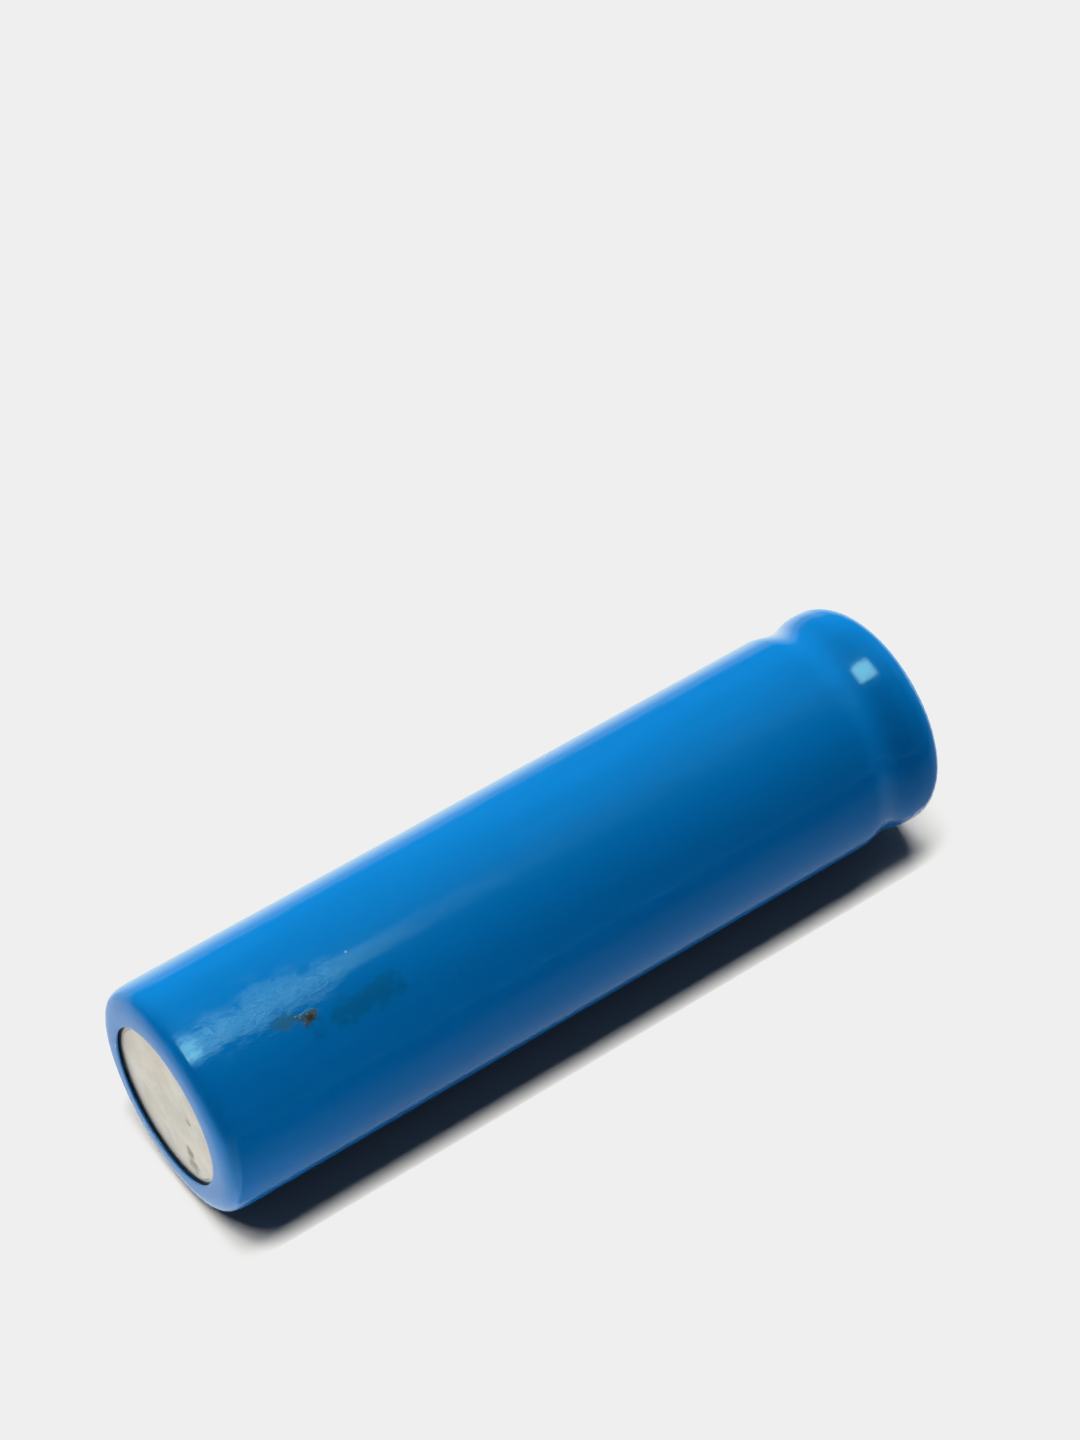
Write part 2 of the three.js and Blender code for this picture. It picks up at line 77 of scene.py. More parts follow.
class CellSizes(bpy.types.PropertyGroup):
    """Sizes of the outer pieces."""

    sleeve_radius: FloatProperty(
        name="Sleeve radius", description="Outside radius of the sleeve at the head",
        default=(SLEEVE_HIGH.z - SLEEVE_LOW.z) / 2, unit="LENGTH",
    )
    body_step: FloatProperty(
        name="Body step", description="How much smaller the sleeve's radius is along the body",
        default=0.05 * MM, unit="LENGTH",
    )
    film: FloatProperty(
        name="Film", description="Thickness of the sleeve film", default=0.15 * MM, unit="LENGTH",
    )
    groove_depth: FloatProperty(
        name="Groove depth", description="How far the film dips over the rolled bead",
        default=0.35 * MM, unit="LENGTH",
    )
    groove_before: FloatProperty(
        name="Groove start", description="From the body to the lowest point of the dip",
        default=2.5 * MM, unit="LENGTH",
    )
    groove_after: FloatProperty(
        name="Groove end", description="From the lowest point of the dip to the head",
        default=2.4 * MM, unit="LENGTH",
    )
    groove_place: FloatProperty(
        name="Groove place", description="Middle of the dip, from the sleeve's positive end",
        default=4.6 * MM, unit="LENGTH",
    )
    negative_hole: FloatProperty(
        name="Negative opening", description="Radius of the opening round the negative contact",
        default=6.38 * MM, unit="LENGTH",
    )
    positive_hole: FloatProperty(
        name="Positive opening", description="Radius of the opening round the positive contact",
        default=6.3 * MM, unit="LENGTH",
    )
    sectors: IntProperty(
        name="Sectors", description="Steps round the turned outer pieces",
        default=240, min=48, max=360,
    )
    cap_sectors: IntProperty(
        name="Cap sectors", description="Steps round the positive cap",
        default=144, min=48, max=360,
    )


class CellFinishes(bpy.types.PropertyGroup):
    """Colours and gloss of the pieces."""

    sleeve_blue: FloatVectorProperty(
        name="Sleeve blue", description="Colour of the shrink film", subtype="COLOR", size=3,
        default=(0.0, 0.2, 0.63), min=0, max=1,
    )
    sleeve_roughness: FloatProperty(
        name="Sleeve roughness", description="Roughness of clean film", subtype="FACTOR",
        default=0.11,
    )
    nickel: FloatVectorProperty(
        name="Nickel", description="Colour of the nickel plate", subtype="COLOR", size=3,
        default=(0.9, 0.865, 0.765), min=0, max=1,
    )
    aluminium: FloatVectorProperty(
        name="Aluminium", description="Colour of bare aluminium", subtype="COLOR", size=3,
        default=(0.76, 0.77, 0.78), min=0, max=1,
    )


class StageSettings(bpy.types.PropertyGroup):
    """Floor, lights and camera."""

    floor: FloatVectorProperty(
        name="Floor", description="Colour of the floor", subtype="COLOR", size=3,
        default=(0.8, 0.8, 0.8), min=0, max=1,
    )
    white: FloatProperty(
        name="White", description="Brightness at which the lit floor levels off", default=0.863,
    )
    row: FloatProperty(
        name="Floor lights", description="Strength of each light of the row", default=1.78,
    )
    row_color: FloatVectorProperty(
        name="Row colour", description="Colour of the row", subtype="COLOR", size=3,
        default=(1, 0.981, 0.933), min=0, max=1,
    )
    row_reach: FloatProperty(
        name="Row reach", description="Tilt along the cell from one light of the row to the next",
        subtype="ANGLE", default=math.radians(13),
    )
    row_middle: FloatProperty(
        name="Row middle", description="Tilt of the middle light of the row along the cell",
        subtype="ANGLE", default=math.radians(-7),
    )
    row_lean: FloatProperty(
        name="Row lean", description="Tilt of the row across the cell", subtype="ANGLE",
        default=math.radians(-1.9),
    )
    row_spread: FloatProperty(
        name="Row spread", description="Angular size of each light of the row", subtype="ANGLE",
        default=math.radians(19),
    )
    glow: FloatProperty(name="Glow", description="Strength of the light from behind", default=5.4)
    glow_color: FloatVectorProperty(
        name="Glow colour", description="Colour of the light from behind", subtype="COLOR", size=3,
        default=(1, 1.15, 1), min=0, max=2,
    )
    glow_spread: FloatProperty(
        name="Glow spread", description="Angular size of the light from behind", subtype="ANGLE",
        default=math.radians(140),
    )
    glow_from: FloatVectorProperty(
        name="Glow direction", description="Where the light from behind comes from",
        subtype="DIRECTION", size=3, default=(0.55, 0.78, 0.3),
    )
    ambient: FloatVectorProperty(
        name="Ambient", description="Colour of the dim light from all round", subtype="COLOR",
        size=3, default=(0.028, 0.048, 0.086), min=0, max=1,
    )
    flag: FloatProperty(
        name="Flag", description="Radiance of the front card near the cell", default=0.2,
    )
    panel: FloatProperty(
        name="Panel glow", description="Radiance of the panel that the gloss mirrors", default=9.5,
    )
    camera_turn: FloatProperty(
        name="Camera turn", description="Turn of the camera about the vertical", subtype="ANGLE",
        default=math.radians(-35.887),
    )
    camera_tilt: FloatProperty(
        name="Camera tilt", description="How steeply the camera looks down", subtype="ANGLE",
        default=math.radians(48.678),
    )
    camera_distance: FloatProperty(
        name="Camera distance", description="From the camera to the point it looks at",
        default=317.81 * MM, unit="LENGTH",
    )
    camera_aim: FloatVectorProperty(
        name="Camera aim", description="The point that the camera looks at",
        subtype="TRANSLATION", size=3, default=(21.458 * MM, 28.939 * MM, -11.763 * MM),
        unit="LENGTH",
    )
    lens: FloatProperty(name="Lens", description="Focal length in millimetres", default=93.1)


# ---------------------------------------------------------------- shader helpers


class Tree:
    """A material's node tree, with short ways to add nodes to it."""

    def __init__(self, name):
        self.material = bpy.data.materials.new(name)
        self.material.use_nodes = True
        self.nodes = self.material.node_tree.nodes
        self.links = self.material.node_tree.links
        self.shader = self.nodes["Principled BSDF"]

    def add(self, kind, **settings):
        """Adds a node with some of its settings."""
        node = self.nodes.new(kind)
        for key, value in settings.items():
            setattr(node, key, value)
        return node

    def feed(self, socket, value):
        """Links an output to a socket, or sets the socket's value."""
        if isinstance(value, bpy.types.NodeSocket):
            self.links.new(value, socket)
        else:
            socket.default_value = value

    def place(self, move=(0, 0, 0), turn=(0, 0, 0), stretch=(1, 1, 1)):
        """Object coordinates, moved so that `move` is the origin, then turned and scaled."""
        coordinate = self.add("ShaderNodeTexCoord").outputs["Object"]
        moved = self.add("ShaderNodeVectorMath", operation="SUBTRACT")
        self.feed(moved.inputs[0], coordinate)
        self.feed(moved.inputs[1], move)
        mapping = self.add("ShaderNodeMapping", vector_type="POINT")
        self.feed(mapping.inputs["Vector"], moved.outputs[0])
        self.feed(mapping.inputs["Rotation"], turn)
        self.feed(mapping.inputs["Scale"], stretch)
        return mapping.outputs[0]

    def math(self, operation, a, b=0.0, c=0.0):
        """The result of one sum on numbers or outputs."""
        node = self.add("ShaderNodeMath", operation=operation)
        for socket, value in zip(node.inputs, (a, b, c)):
            self.feed(socket, value)
        return node.outputs[0]

    def noise(self, grain, vector, detail=3.0, roughness=0.5):
        """Noise whose grains are about `grain` metres across."""
        node = self.add("ShaderNodeTexNoise")
        self.feed(node.inputs["Vector"], vector)
        node.inputs["Scale"].default_value = 1 / grain
        node.inputs["Detail"].default_value = detail
        node.inputs["Roughness"].default_value = roughness
        return node.outputs["Fac"]

    def span(self, value, low, high, out_low=0.0, out_high=1.0):
        """Maps low..high to out_low..out_high, smoothly and clamped."""
        node = self.add("ShaderNodeMapRange", interpolation_type="SMOOTHSTEP")
        keys = ("Value", "From Min", "From Max", "To Min", "To Max")
        for key, number in zip(keys, (value, low, high, out_low, out_high)):
            self.feed(node.inputs[key], number)
        return node.outputs["Result"]

    def mix(self, share, a, b):
        """Colour a where share is 0 and b where it is 1."""
        node = self.add("ShaderNodeMix", data_type="RGBA")
        self.feed(node.inputs["Factor"], share)
        self.feed(node.inputs[6], a)
        self.feed(node.inputs[7], b)
        return node.outputs[2]

    def bump(self, height, depth, normal=None):
        """A bump whose height runs over `depth` metres."""
        node = self.add("ShaderNodeBump")
        node.inputs["Distance"].default_value = depth
        self.feed(node.inputs["Height"], height)
        if normal is not None:
            self.feed(node.inputs["Normal"], normal)
        return node.outputs[0]

    def spot(self, centre, size, wobble, squeeze=(1, 1, 1), turn=(0, 0, 0)):
        """1 inside a blot of about `size` metres in radius with a ragged edge, 0 outside it."""
        place = self.place(centre, turn, squeeze)
        distance = self.add("ShaderNodeVectorMath", operation="LENGTH")
        self.feed(distance.inputs[0], place)
        ragged = self.noise(size * 0.9, self.place(), detail=4.0, roughness=0.65)
        offset = self.math("MULTIPLY_ADD", ragged, 2 * wobble * size, -wobble * size)
        reach = self.math("ADD", distance.outputs["Value"], offset)
        return self.span(reach, size * 0.35, size, 1.0, 0.0)

    def specks(self, spacing, size, share, seed):
        """1 in tiny round specks, on the given share of cells that are `spacing` metres apart."""
        node = self.add("ShaderNodeTexVoronoi")
        self.feed(node.inputs["Vector"], self.place((seed * MM, 0, 0)))
        node.inputs["Scale"].default_value = 1 / spacing
        radius = size / spacing
        near = self.span(node.outputs["Distance"], radius * 0.5, radius, 1.0, 0.0)
        red = self.add("ShaderNodeSeparateColor")
        self.feed(red.inputs[0], node.outputs["Color"])
        chosen = self.math("LESS_THAN", red.outputs[0], share)
        return self.math("MULTIPLY", near, chosen)

    def finish(self, color, roughness=None, normal=None, **fixed):
        """Feeds the shader and returns the material; fixed values go straight on its sockets."""
        for key, value in (("Base Color", color), ("Roughness", roughness), ("Normal", normal)):
            if value is not None:
                self.feed(self.shader.inputs[key], value)
        for key, value in fixed.items():
            self.shader.inputs[key.replace("_", " ")].default_value = value
        return self.material


def rgba(color):
    """An opaque colour."""
    return (*color, 1.0)


def shade(color, factor):
    """A colour made darker or lighter."""
    return tuple(channel * factor for channel in color)


# ---------------------------------------------------------------- finishes


def on_sleeve(station, angle):
    """The point on the sleeve at a station in millimetres and an angle in degrees from +Y."""
    radius = SLEEVE_HIGH.z - AXIS_HEIGHT
    turn = math.radians(angle)
    return (
        FIRST_STATION + station * MM,
        radius * math.cos(turn),
        AXIS_HEIGHT + radius * math.sin(turn),
    )


def shrink_film(look):
    """Glossy blue film with draw lines, scuffs near its negative end, a rust spot and dust."""
    tree = Tree("blue_shrink_film")
    blue = look.sleeve_blue
    axial = tree.place(stretch=(0.12, 1, 1))
    cloudy = tree.noise(6 * MM, axial, detail=3.0)
    clouds = tree.span(cloudy, 0.35, 0.65)
    color = tree.mix(clouds, rgba(shade(blue, 0.95)), rgba(shade(blue, 1.05)))

    smear = tree.spot(
        on_sleeve(14.0, 125.6), 1.3 * MM, wobble=1.0, squeeze=(0.24, 1, 1), turn=(0, 0, -0.14),
    )
    fleck = tree.spot(on_sleeve(8.2, 117.0), 0.8 * MM, wobble=1.1, squeeze=(0.5, 1, 1))
    rust = tree.spot(on_sleeve(9.75, 119.8), 0.62 * MM, wobble=0.95, squeeze=(0.6, 1, 1))
    rust_core = tree.spot(on_sleeve(9.9, 120.4), 0.3 * MM, wobble=0.8, squeeze=(0.7, 1, 1))
    pale = tree.specks(4.6 * MM, 0.12 * MM, 0.5, 3)
    dark = tree.specks(4.2 * MM, 0.11 * MM, 0.3, 17)
    for mark, strength, mark_color in (
        (smear, 0.45, (0.0, 0.1, 0.2)),
        (fleck, 0.5, (0.05, 0.14, 0.14)),
        (rust, 0.9, (0.07, 0.065, 0.04)),
        (rust_core, 1.0, (0.05, 0.022, 0.008)),
        (pale, 0.7, (0.45, 0.6, 0.7)),
        (dark, 0.7, (0.0, 0.04, 0.1)),
    ):
        color = tree.mix(tree.math("MULTIPLY", mark, strength), color, rgba(mark_color))

    scuff = tree.noise(0.8 * MM, tree.place(stretch=(0.4, 1, 1)), detail=5.0, roughness=0.7)
    handled = tree.spot(on_sleeve(7.5, 107), 3.2 * MM, wobble=0.5, squeeze=(0.36, 1, 1))
    share = tree.math("MULTIPLY_ADD", handled, 0.9, 0.1)
    scuffed = tree.math("MULTIPLY", tree.span(scuff, 0.38, 0.64), share)
    roughness = tree.math("MULTIPLY_ADD", scuffed, 0.3, look.sleeve_roughness)
    stained = tree.math("MAXIMUM", smear, rust)
    roughness = tree.math("MULTIPLY_ADD", stained, 0.1, roughness)

    draw_lines = tree.noise(0.9 * MM, tree.place(stretch=(0.035, 1, 1)), detail=2.0)
    waves = tree.noise(3.2 * MM, tree.place(stretch=(0.45, 1, 1)), detail=1.0)
    peel = tree.noise(0.45 * MM, tree.place(stretch=(0.7, 1, 1)), detail=3.0, roughness=0.6)
    normal = tree.bump(draw_lines, 0.006 * MM)
    normal = tree.bump(waves, 0.03 * MM, normal)
    normal = tree.bump(peel, 0.004 * MM, normal)
    normal = tree.bump(scuffed, 0.012 * MM, normal)
    normal = tree.bump(tree.math("ADD", pale, rust), 0.02 * MM, normal)
    return tree.finish(color, roughness, normal, IOR=1.5, Specular_Tint=(0.45, 1, 0.85, 1))


def cut_edge_with_painted_highlight():
    """Cut edge of the film, paler than the film: partly its own colour, partly a painted highlight
    of the lip's edge catching the light.
    """
    return speckled(
        "cut_film_edge_painted_highlight", (0.30, 0.50, 0.72), (0.18, 0.40, 0.66), 0.3 * MM, 0.004 * MM, 0.3, 0.5,
        IOR=1.5,
    )


def nickel_plate(look):
    """Satin nickel on drawn steel, with faint stains, pits and the fine grain of rolled sheet."""
    tree = Tree("nickel_plate")
    nickel = look.nickel
    stain = tree.noise(2.6 * MM, tree.place(), detail=4.0, roughness=0.6)
    color = tree.mix(tree.span(stain, 0.35, 0.7), rgba(nickel), rgba(shade(nickel, 0.86)))
    warm = tree.noise(5 * MM, tree.place((3 * MM, 0, 0)), detail=2.0)
    warmed = tree.math("MULTIPLY", tree.span(warm, 0.5, 0.7), 0.5)
    color = tree.mix(warmed, color, (0.82, 0.735, 0.585, 1))
    # Three smudges on the contact disc: across, up from the axis, radius (mm) and strength.
    for y, height, size, strength in (
        (-2.93, 1.21, 0.6, 0.8), (-2.65, -2.92, 0.8, 0.7), (-2.98, -4.0, 1.0, 0.6),
    ):
        centre = (FIRST_STATION, y * MM, AXIS_HEIGHT + height * MM)
        smudge = tree.spot(centre, size * MM, wobble=0.9)
        color = tree.mix(tree.math("MULTIPLY", smudge, strength), color, (0.2, 0.18, 0.14, 1))
    color = tree.mix(rust_line(tree), color, (0.40, 0.24, 0.13, 1))
    pits = tree.specks(1.5 * MM, 0.1 * MM, 0.22, 5)
    color = tree.mix(tree.math("MULTIPLY", pits, 0.75), color, (0.22, 0.2, 0.16, 1))
    roughness = tree.math("MULTIPLY_ADD", stain, 0.16, 0.33)
    grain = tree.noise(0.12 * MM, tree.place(stretch=(1, 0.15, 1)), detail=2.0)
    normal = tree.bump(grain, 0.0015 * MM)
    normal = tree.bump(stain, 0.01 * MM, normal)
    normal = tree.bump(tree.math("SUBTRACT", 1.0, pits), 0.015 * MM, normal)
    return tree.finish(color, roughness, normal, Metallic=1.0)


def rust_line(tree):
    """A thin broken line of rust just inside the edge of the contact disc."""
    place = tree.place((0, 0, AXIS_HEIGHT), stretch=(0, 1, 1))
    radius = tree.add("ShaderNodeVectorMath", operation="LENGTH")
    tree.feed(radius.inputs[0], place)
    radius = radius.outputs["Value"]
    inside = tree.span(radius, 5.95 * MM, 6.05 * MM)
    outside = tree.span(radius, 6.1 * MM, 6.2 * MM, 1.0, 0.0)
    broken = tree.span(tree.noise(2.2 * MM, tree.place(), detail=3.0), 0.42, 0.6, 0.0, 0.6)
    return tree.math("MULTIPLY", tree.math("MULTIPLY", inside, outside), broken)


def rolled_aluminium(look):
    """Bare rolled aluminium with its rolling lines."""
    tree = Tree("rolled_aluminium")
    lines = tree.noise(0.15 * MM, tree.place(stretch=(1, 1, 0.06)), detail=3.0)
    base = look.aluminium
    color = tree.mix(tree.span(lines, 0.3, 0.7), rgba(shade(base, 0.93)), rgba(base))
    roughness = tree.math("MULTIPLY_ADD", lines, 0.2, 0.28)
    return tree.finish(color, roughness, tree.bump(lines, 0.002 * MM), Metallic=1.0)


def speckled(name, light, dark, grain, depth, low, high, stretch=(1, 1, 1), **fixed):
    """Two close colours in grains, with bump to match and roughness from low to high."""
    tree = Tree(name)
    value = tree.noise(grain, tree.place(stretch=stretch), detail=4.0, roughness=0.6)
    color = tree.mix(tree.span(value, 0.35, 0.65), rgba(dark), rgba(light))
    roughness = tree.span(value, 0.3, 0.7, low, high)
    return tree.finish(color, roughness, tree.bump(value, depth), **fixed)


def inner_finishes(look):
    """The finishes of the pieces inside, by material slot."""
    return {
        "white_fibre": speckled(
            "pressed_fibre", (0.84, 0.81, 0.73), (0.70, 0.66, 0.57), 0.12 * MM, 0.012 * MM,
            0.75, 0.95, stretch=(1, 0.35, 1),
        ),
        "black_polymer": speckled(
            "filled_black_polymer", (0.035, 0.035, 0.038), (0.018, 0.018, 0.02), 0.1 * MM,
            0.006 * MM, 0.5, 0.7,
        ),
        "clear_polymer": speckled(
            "milky_polymer", (0.76, 0.78, 0.77), (0.68, 0.70, 0.69), 0.6 * MM, 0.003 * MM,
            0.3, 0.45, IOR=1.49,
        ),
        "cathode_coating": speckled(
            "cathode_coat", (0.035, 0.036, 0.04), (0.018, 0.018, 0.02), 0.08 * MM, 0.004 * MM,
            0.6, 0.85,
        ),
        "anode_coating": speckled(
            "graphite_coat", (0.06, 0.056, 0.053), (0.03, 0.028, 0.027), 0.08 * MM, 0.004 * MM,
            0.55, 0.75,
        ),
        "separator_film": speckled(
            "separator_film", (0.86, 0.86, 0.84), (0.78, 0.78, 0.77), 0.5 * MM, 0.004 * MM,
            0.35, 0.5, stretch=(0.2, 1, 1),
        ),
        "green_tape": speckled(
            "green_tape", (0.06, 0.34, 0.14), (0.045, 0.28, 0.11), 0.4 * MM, 0.003 * MM,
            0.2, 0.35,
        ),
        "amber_tape": speckled(
            "amber_tape", (0.55, 0.22, 0.03), (0.45, 0.16, 0.02), 0.4 * MM, 0.003 * MM,
            0.15, 0.3,
        ),
        "bare_aluminium": rolled_aluminium(look),
    }


# ---------------------------------------------------------------- outlines


def arc(station, radius, axial, radial, steps, last=90.0):
    """Points on an ellipse round (station, radius), from its outermost point to `last` degrees."""
    points = []
    for i in range(steps + 1):
        angle = math.radians(last * i / steps)
        points.append((station + axial * math.sin(angle), radius + radial * math.cos(angle)))
    return points


def ease(share):
    """Rises smoothly from 0 to 1 as the share does."""
    return 0.5 - 0.5 * math.cos(math.pi * share)


def sleeve_profile(sizes):
    """The film's outer face, from the negative lip to the positive lip."""
    head = sizes.sleeve_radius / MM
    body = head - sizes.body_step / MM
    end = SLEEVE_LENGTH / MM
    groove = end - sizes.groove_place / MM
    before, after = sizes.groove_before / MM, sizes.groove_after / MM
    depth = sizes.groove_depth / MM
    hole = sizes.negative_hole / MM

    lip = 0.05
    points = [(lip, hole), (0.3 * lip, hole + 0.3 * lip), (0.0, hole + lip), (0.0, hole + 0.3)]
    # The folded corner: how far in from the body's radius, and the station.
    points += [(station, body - inset) for inset, station in (
        (2.0, 0.0), (1.6, 0.02), (1.33, 0.055), (1.08, 0.11), (0.83, 0.19), (0.63, 0.28),
        (0.47, 0.38), (0.34, 0.5), (0.24, 0.64), (0.16, 0.81), (0.1, 1.0), (0.055, 1.23),
        (0.025, 1.52), (0.005, 1.9),
    )]

    body_start, body_end, rows = points[-1][0] + 0.35, groove - before, 46
    points += [(body_start + (body_end - body_start) * i / rows, body) for i in range(rows + 1)]
    fall_rows, rise_rows = 14, 16
    points += [
        (body_end + before * i / fall_rows, body - depth * ease(i / fall_rows))
        for i in range(1, fall_rows + 1)
    ]
    points += [
        (groove + after * i / rise_rows, head - (depth + head - body) * ease(1 - i / rise_rows))
        for i in range(1, rise_rows)
    ]

    crown_axial, crown_radial = 1.75, 1.5
    crest, crown = groove + after, end - crown_axial
    points += [(crest + (crown - crest) * i / 3, head) for i in range(3)]
    points += arc(crown, head - crown_radial, crown_axial, crown_radial, 20, last=89.0)
    points += [(end, radius) for radius in (7.4, 7.1, 6.7, sizes.positive_hole / MM)]
    return points


# ---------------------------------------------------------------- mesh helpers


def made(name, mesh, material, replaced):
    """Links a finished mesh as a piece that rides on the cell and stands for a CAD node."""
    piece = bpy.data.objects.new(name, mesh)
    bpy.context.scene.collection.objects.link(piece)
    mesh.materials.append(material)
    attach(piece, "root")
    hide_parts(replaced)
    return piece


def spun(outline, sectors, closed=False):
    """A bmesh of an outline turned once round the cell's axis, with its poles closed."""
    bm = bmesh.new()
    line = [bm.verts.new((FIRST_STATION + s * MM, 0, AXIS_HEIGHT + r * MM)) for s, r in outline]
    edges = [bm.edges.new(pair) for pair in zip(line, line[1:])]
    if closed:
        edges.append(bm.edges.new((line[-1], line[0])))
    bmesh.ops.spin(
        bm, geom=line + edges, cent=(0, 0, AXIS_HEIGHT), axis=(1, 0, 0), angle=2 * math.pi,
        steps=sectors, use_merge=True,
    )
    bmesh.ops.remove_doubles(bm, verts=bm.verts, dist=1e-7)
    bmesh.ops.recalc_face_normals(bm, faces=bm.faces)
    return bm


def mesh_from(bm, name, sharp=35.0):
    """A mesh from a bmesh, shaded smooth except at edges sharper than `sharp` degrees."""
    mesh = bpy.data.meshes.new(name)
    bm.to_mesh(mesh)
    bm.free()
    mesh.shade_smooth()
    mesh.set_sharp_from_angle(angle=math.radians(sharp))
    return mesh


def soften(piece, width, angle=35.0):
    """Rounds a piece's edges that are sharper than `angle` degrees."""
    bevel = piece.modifiers.new("soft_edges", "BEVEL")
    bevel.width = width
    bevel.segments = 2
    bevel.limit_method = "ANGLE"
    bevel.angle_limit = math.radians(angle)
    bevel.harden_normals = True


def thicken(piece, thickness):
    """Gives an open sheet its thickness, inwards from its outer face."""
    wall = piece.modifiers.new("sheet", "SOLIDIFY")
    wall.thickness = thickness
    wall.offset = -1.0
    wall.use_even_offset = True
    wall.use_quality_normals = True
    return wall


# ---------------------------------------------------------------- pieces


class CELL_OT_sleeve(bpy.types.Operator):
    """Make the shrunk sleeve, with the slight unevenness of film drawn tight by heat"""

    bl_idname = "cell.sleeve"
    bl_label = "Sleeve"

    held_radius = 8.6 * MM
    patch = 5 * MM
    wander = 0.016 * MM

    def execute(self, context):
        sizes, finishes = context.scene.cell_sizes, context.scene.cell_finishes
        bm = spun(sleeve_profile(sizes), sizes.sectors)
        self.slacken(bm)
        mesh = mesh_from(bm, "sleeve_film", sharp=60.0)
        piece = made("sleeve_film", mesh, shrink_film(finishes), "shrink_sleeve")
        # The film's rim takes the paler cut-edge finish, which partly paints the highlight along
        # the lip's edge.
        mesh.materials.append(cut_edge_with_painted_highlight())
        thicken(piece, sizes.film).material_offset_rim = 1
        # The film throws no blue light on the floor beside it.
        piece.visible_diffuse = False
        return {"FINISHED"}

    def slacken(self, bm):
        """Lets the film wander a little where it isn't folded in over the ends."""
        axis = Vector((0, 0, AXIS_HEIGHT))
        for vert in bm.verts:
            radial = vert.co - axis
            radial.x = 0
            if radial.length < self.held_radius:
                continue
            radial.normalize()
            place = Vector((vert.co.x * 0.35, vert.co.y, vert.co.z)) / self.patch
            vert.co += radial * (noise.noise(place) - 0.6) * self.wander


class CELL_OT_can(bpy.types.Operator):
    """Make the drawn can: pressed contact disc, rolled bead and crimped lip"""

    bl_idname = "cell.can"
    bl_label = "Can"

    # Sizes in millimetres.
    slack = 0.08
    disc_forward = 0.08
    disc_radius = 6.3
    disc_step = 0.05
    corner = 0.85
    wall = 0.22
    bead_place = 4.15
    bead_depth = 1.3
    bead_half_width = 2.05
    bead_shift = 0.2

    def execute(self, context):
        sizes = context.scene.cell_sizes
        low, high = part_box("cell_can")
        disc = (low.x - FIRST_STATION) / MM - self.disc_forward
        outer = (high.z - low.z) / 2 / MM - self.slack
        crimp = (high.x - FIRST_STATION) / MM
        mesh = mesh_from(spun(self.outline(disc, outer, crimp), sizes.sectors), "can_shell")
        nickel = bpy.data.materials["nickel_plate"]
        piece = made("can_shell", mesh, nickel, "cell_can")
        soften(piece, 0.04 * MM)
        return {"FINISHED"}

    def outline(self, disc, outer, crimp):
        """Outwards along the contact, up the outside, over the crimp and back inside."""
        base = disc + self.disc_step
        inner = outer - self.wall
        edge = self.disc_radius
        points = [(disc, 0), (disc, 3), (disc, edge - 0.1)]
        points += [(disc + 0.012, edge), (base, edge + 0.08)]
        for degrees in range(0, 91, 10):
            turn = math.radians(degrees)
            forward, inset = 1 - math.cos(turn), 1 - math.sin(turn)
            points.append((base + self.corner * forward, outer - self.corner * inset))
        middle = SLEEVE_LENGTH / MM - self.bead_place
        points += self.bead(middle - self.bead_shift, outer, self.bead_half_width)

        crown_axial, crown_radial, lip, mouth = 1.6, 0.95, 0.25, 6.6
        crown, ring = crimp - crown_axial, outer - crown_radial
        points += arc(crown, ring, crown_axial, crown_radial, 10)
        points += [(crimp, mouth), (crimp - lip, mouth)]
        points += arc(crown, ring, crown_axial - lip, crown_radial - self.wall, 10)[::-1]
        points += self.bead(middle, inner, self.bead_half_width + self.wall)[::-1][1:]

        fillet = 0.25
        floor = base + 0.3
        points += [(floor + fillet, inner), (floor, inner - fillet), (floor, 0)]
        return points

    def bead(self, middle, radius, half_width):
        """The dip of the rolled bead in a wall of a radius."""
        return [
            (middle + half_width * (i / 12 - 1), radius - self.bead_depth * ease(i / 12))
            for i in range(25)
        ]


class CELL_OT_washer(bpy.types.Operator):
    """Make the fibre washer round the positive contact"""

    bl_idname = "cell.washer"
    bl_label = "Washer"

    # Sizes in millimetres.
    hole = 5.7
    rim = 7.85

    def execute(self, context):
        low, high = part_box("top_washer")
        bottom = (low.x - FIRST_STATION) / MM
        top = (high.x - FIRST_STATION) / MM
        outline = [(bottom, self.hole), (bottom, self.rim), (top, self.rim), (top, self.hole)]
        bm = spun(outline, context.scene.cell_sizes.sectors, closed=True)
        mesh = mesh_from(bm, "fibre_washer")
        fibre = bpy.data.materials["pressed_fibre"]
        piece = made("fibre_washer", mesh, fibre, "top_washer")
        soften(piece, 0.05 * MM)
        return {"FINISHED"}


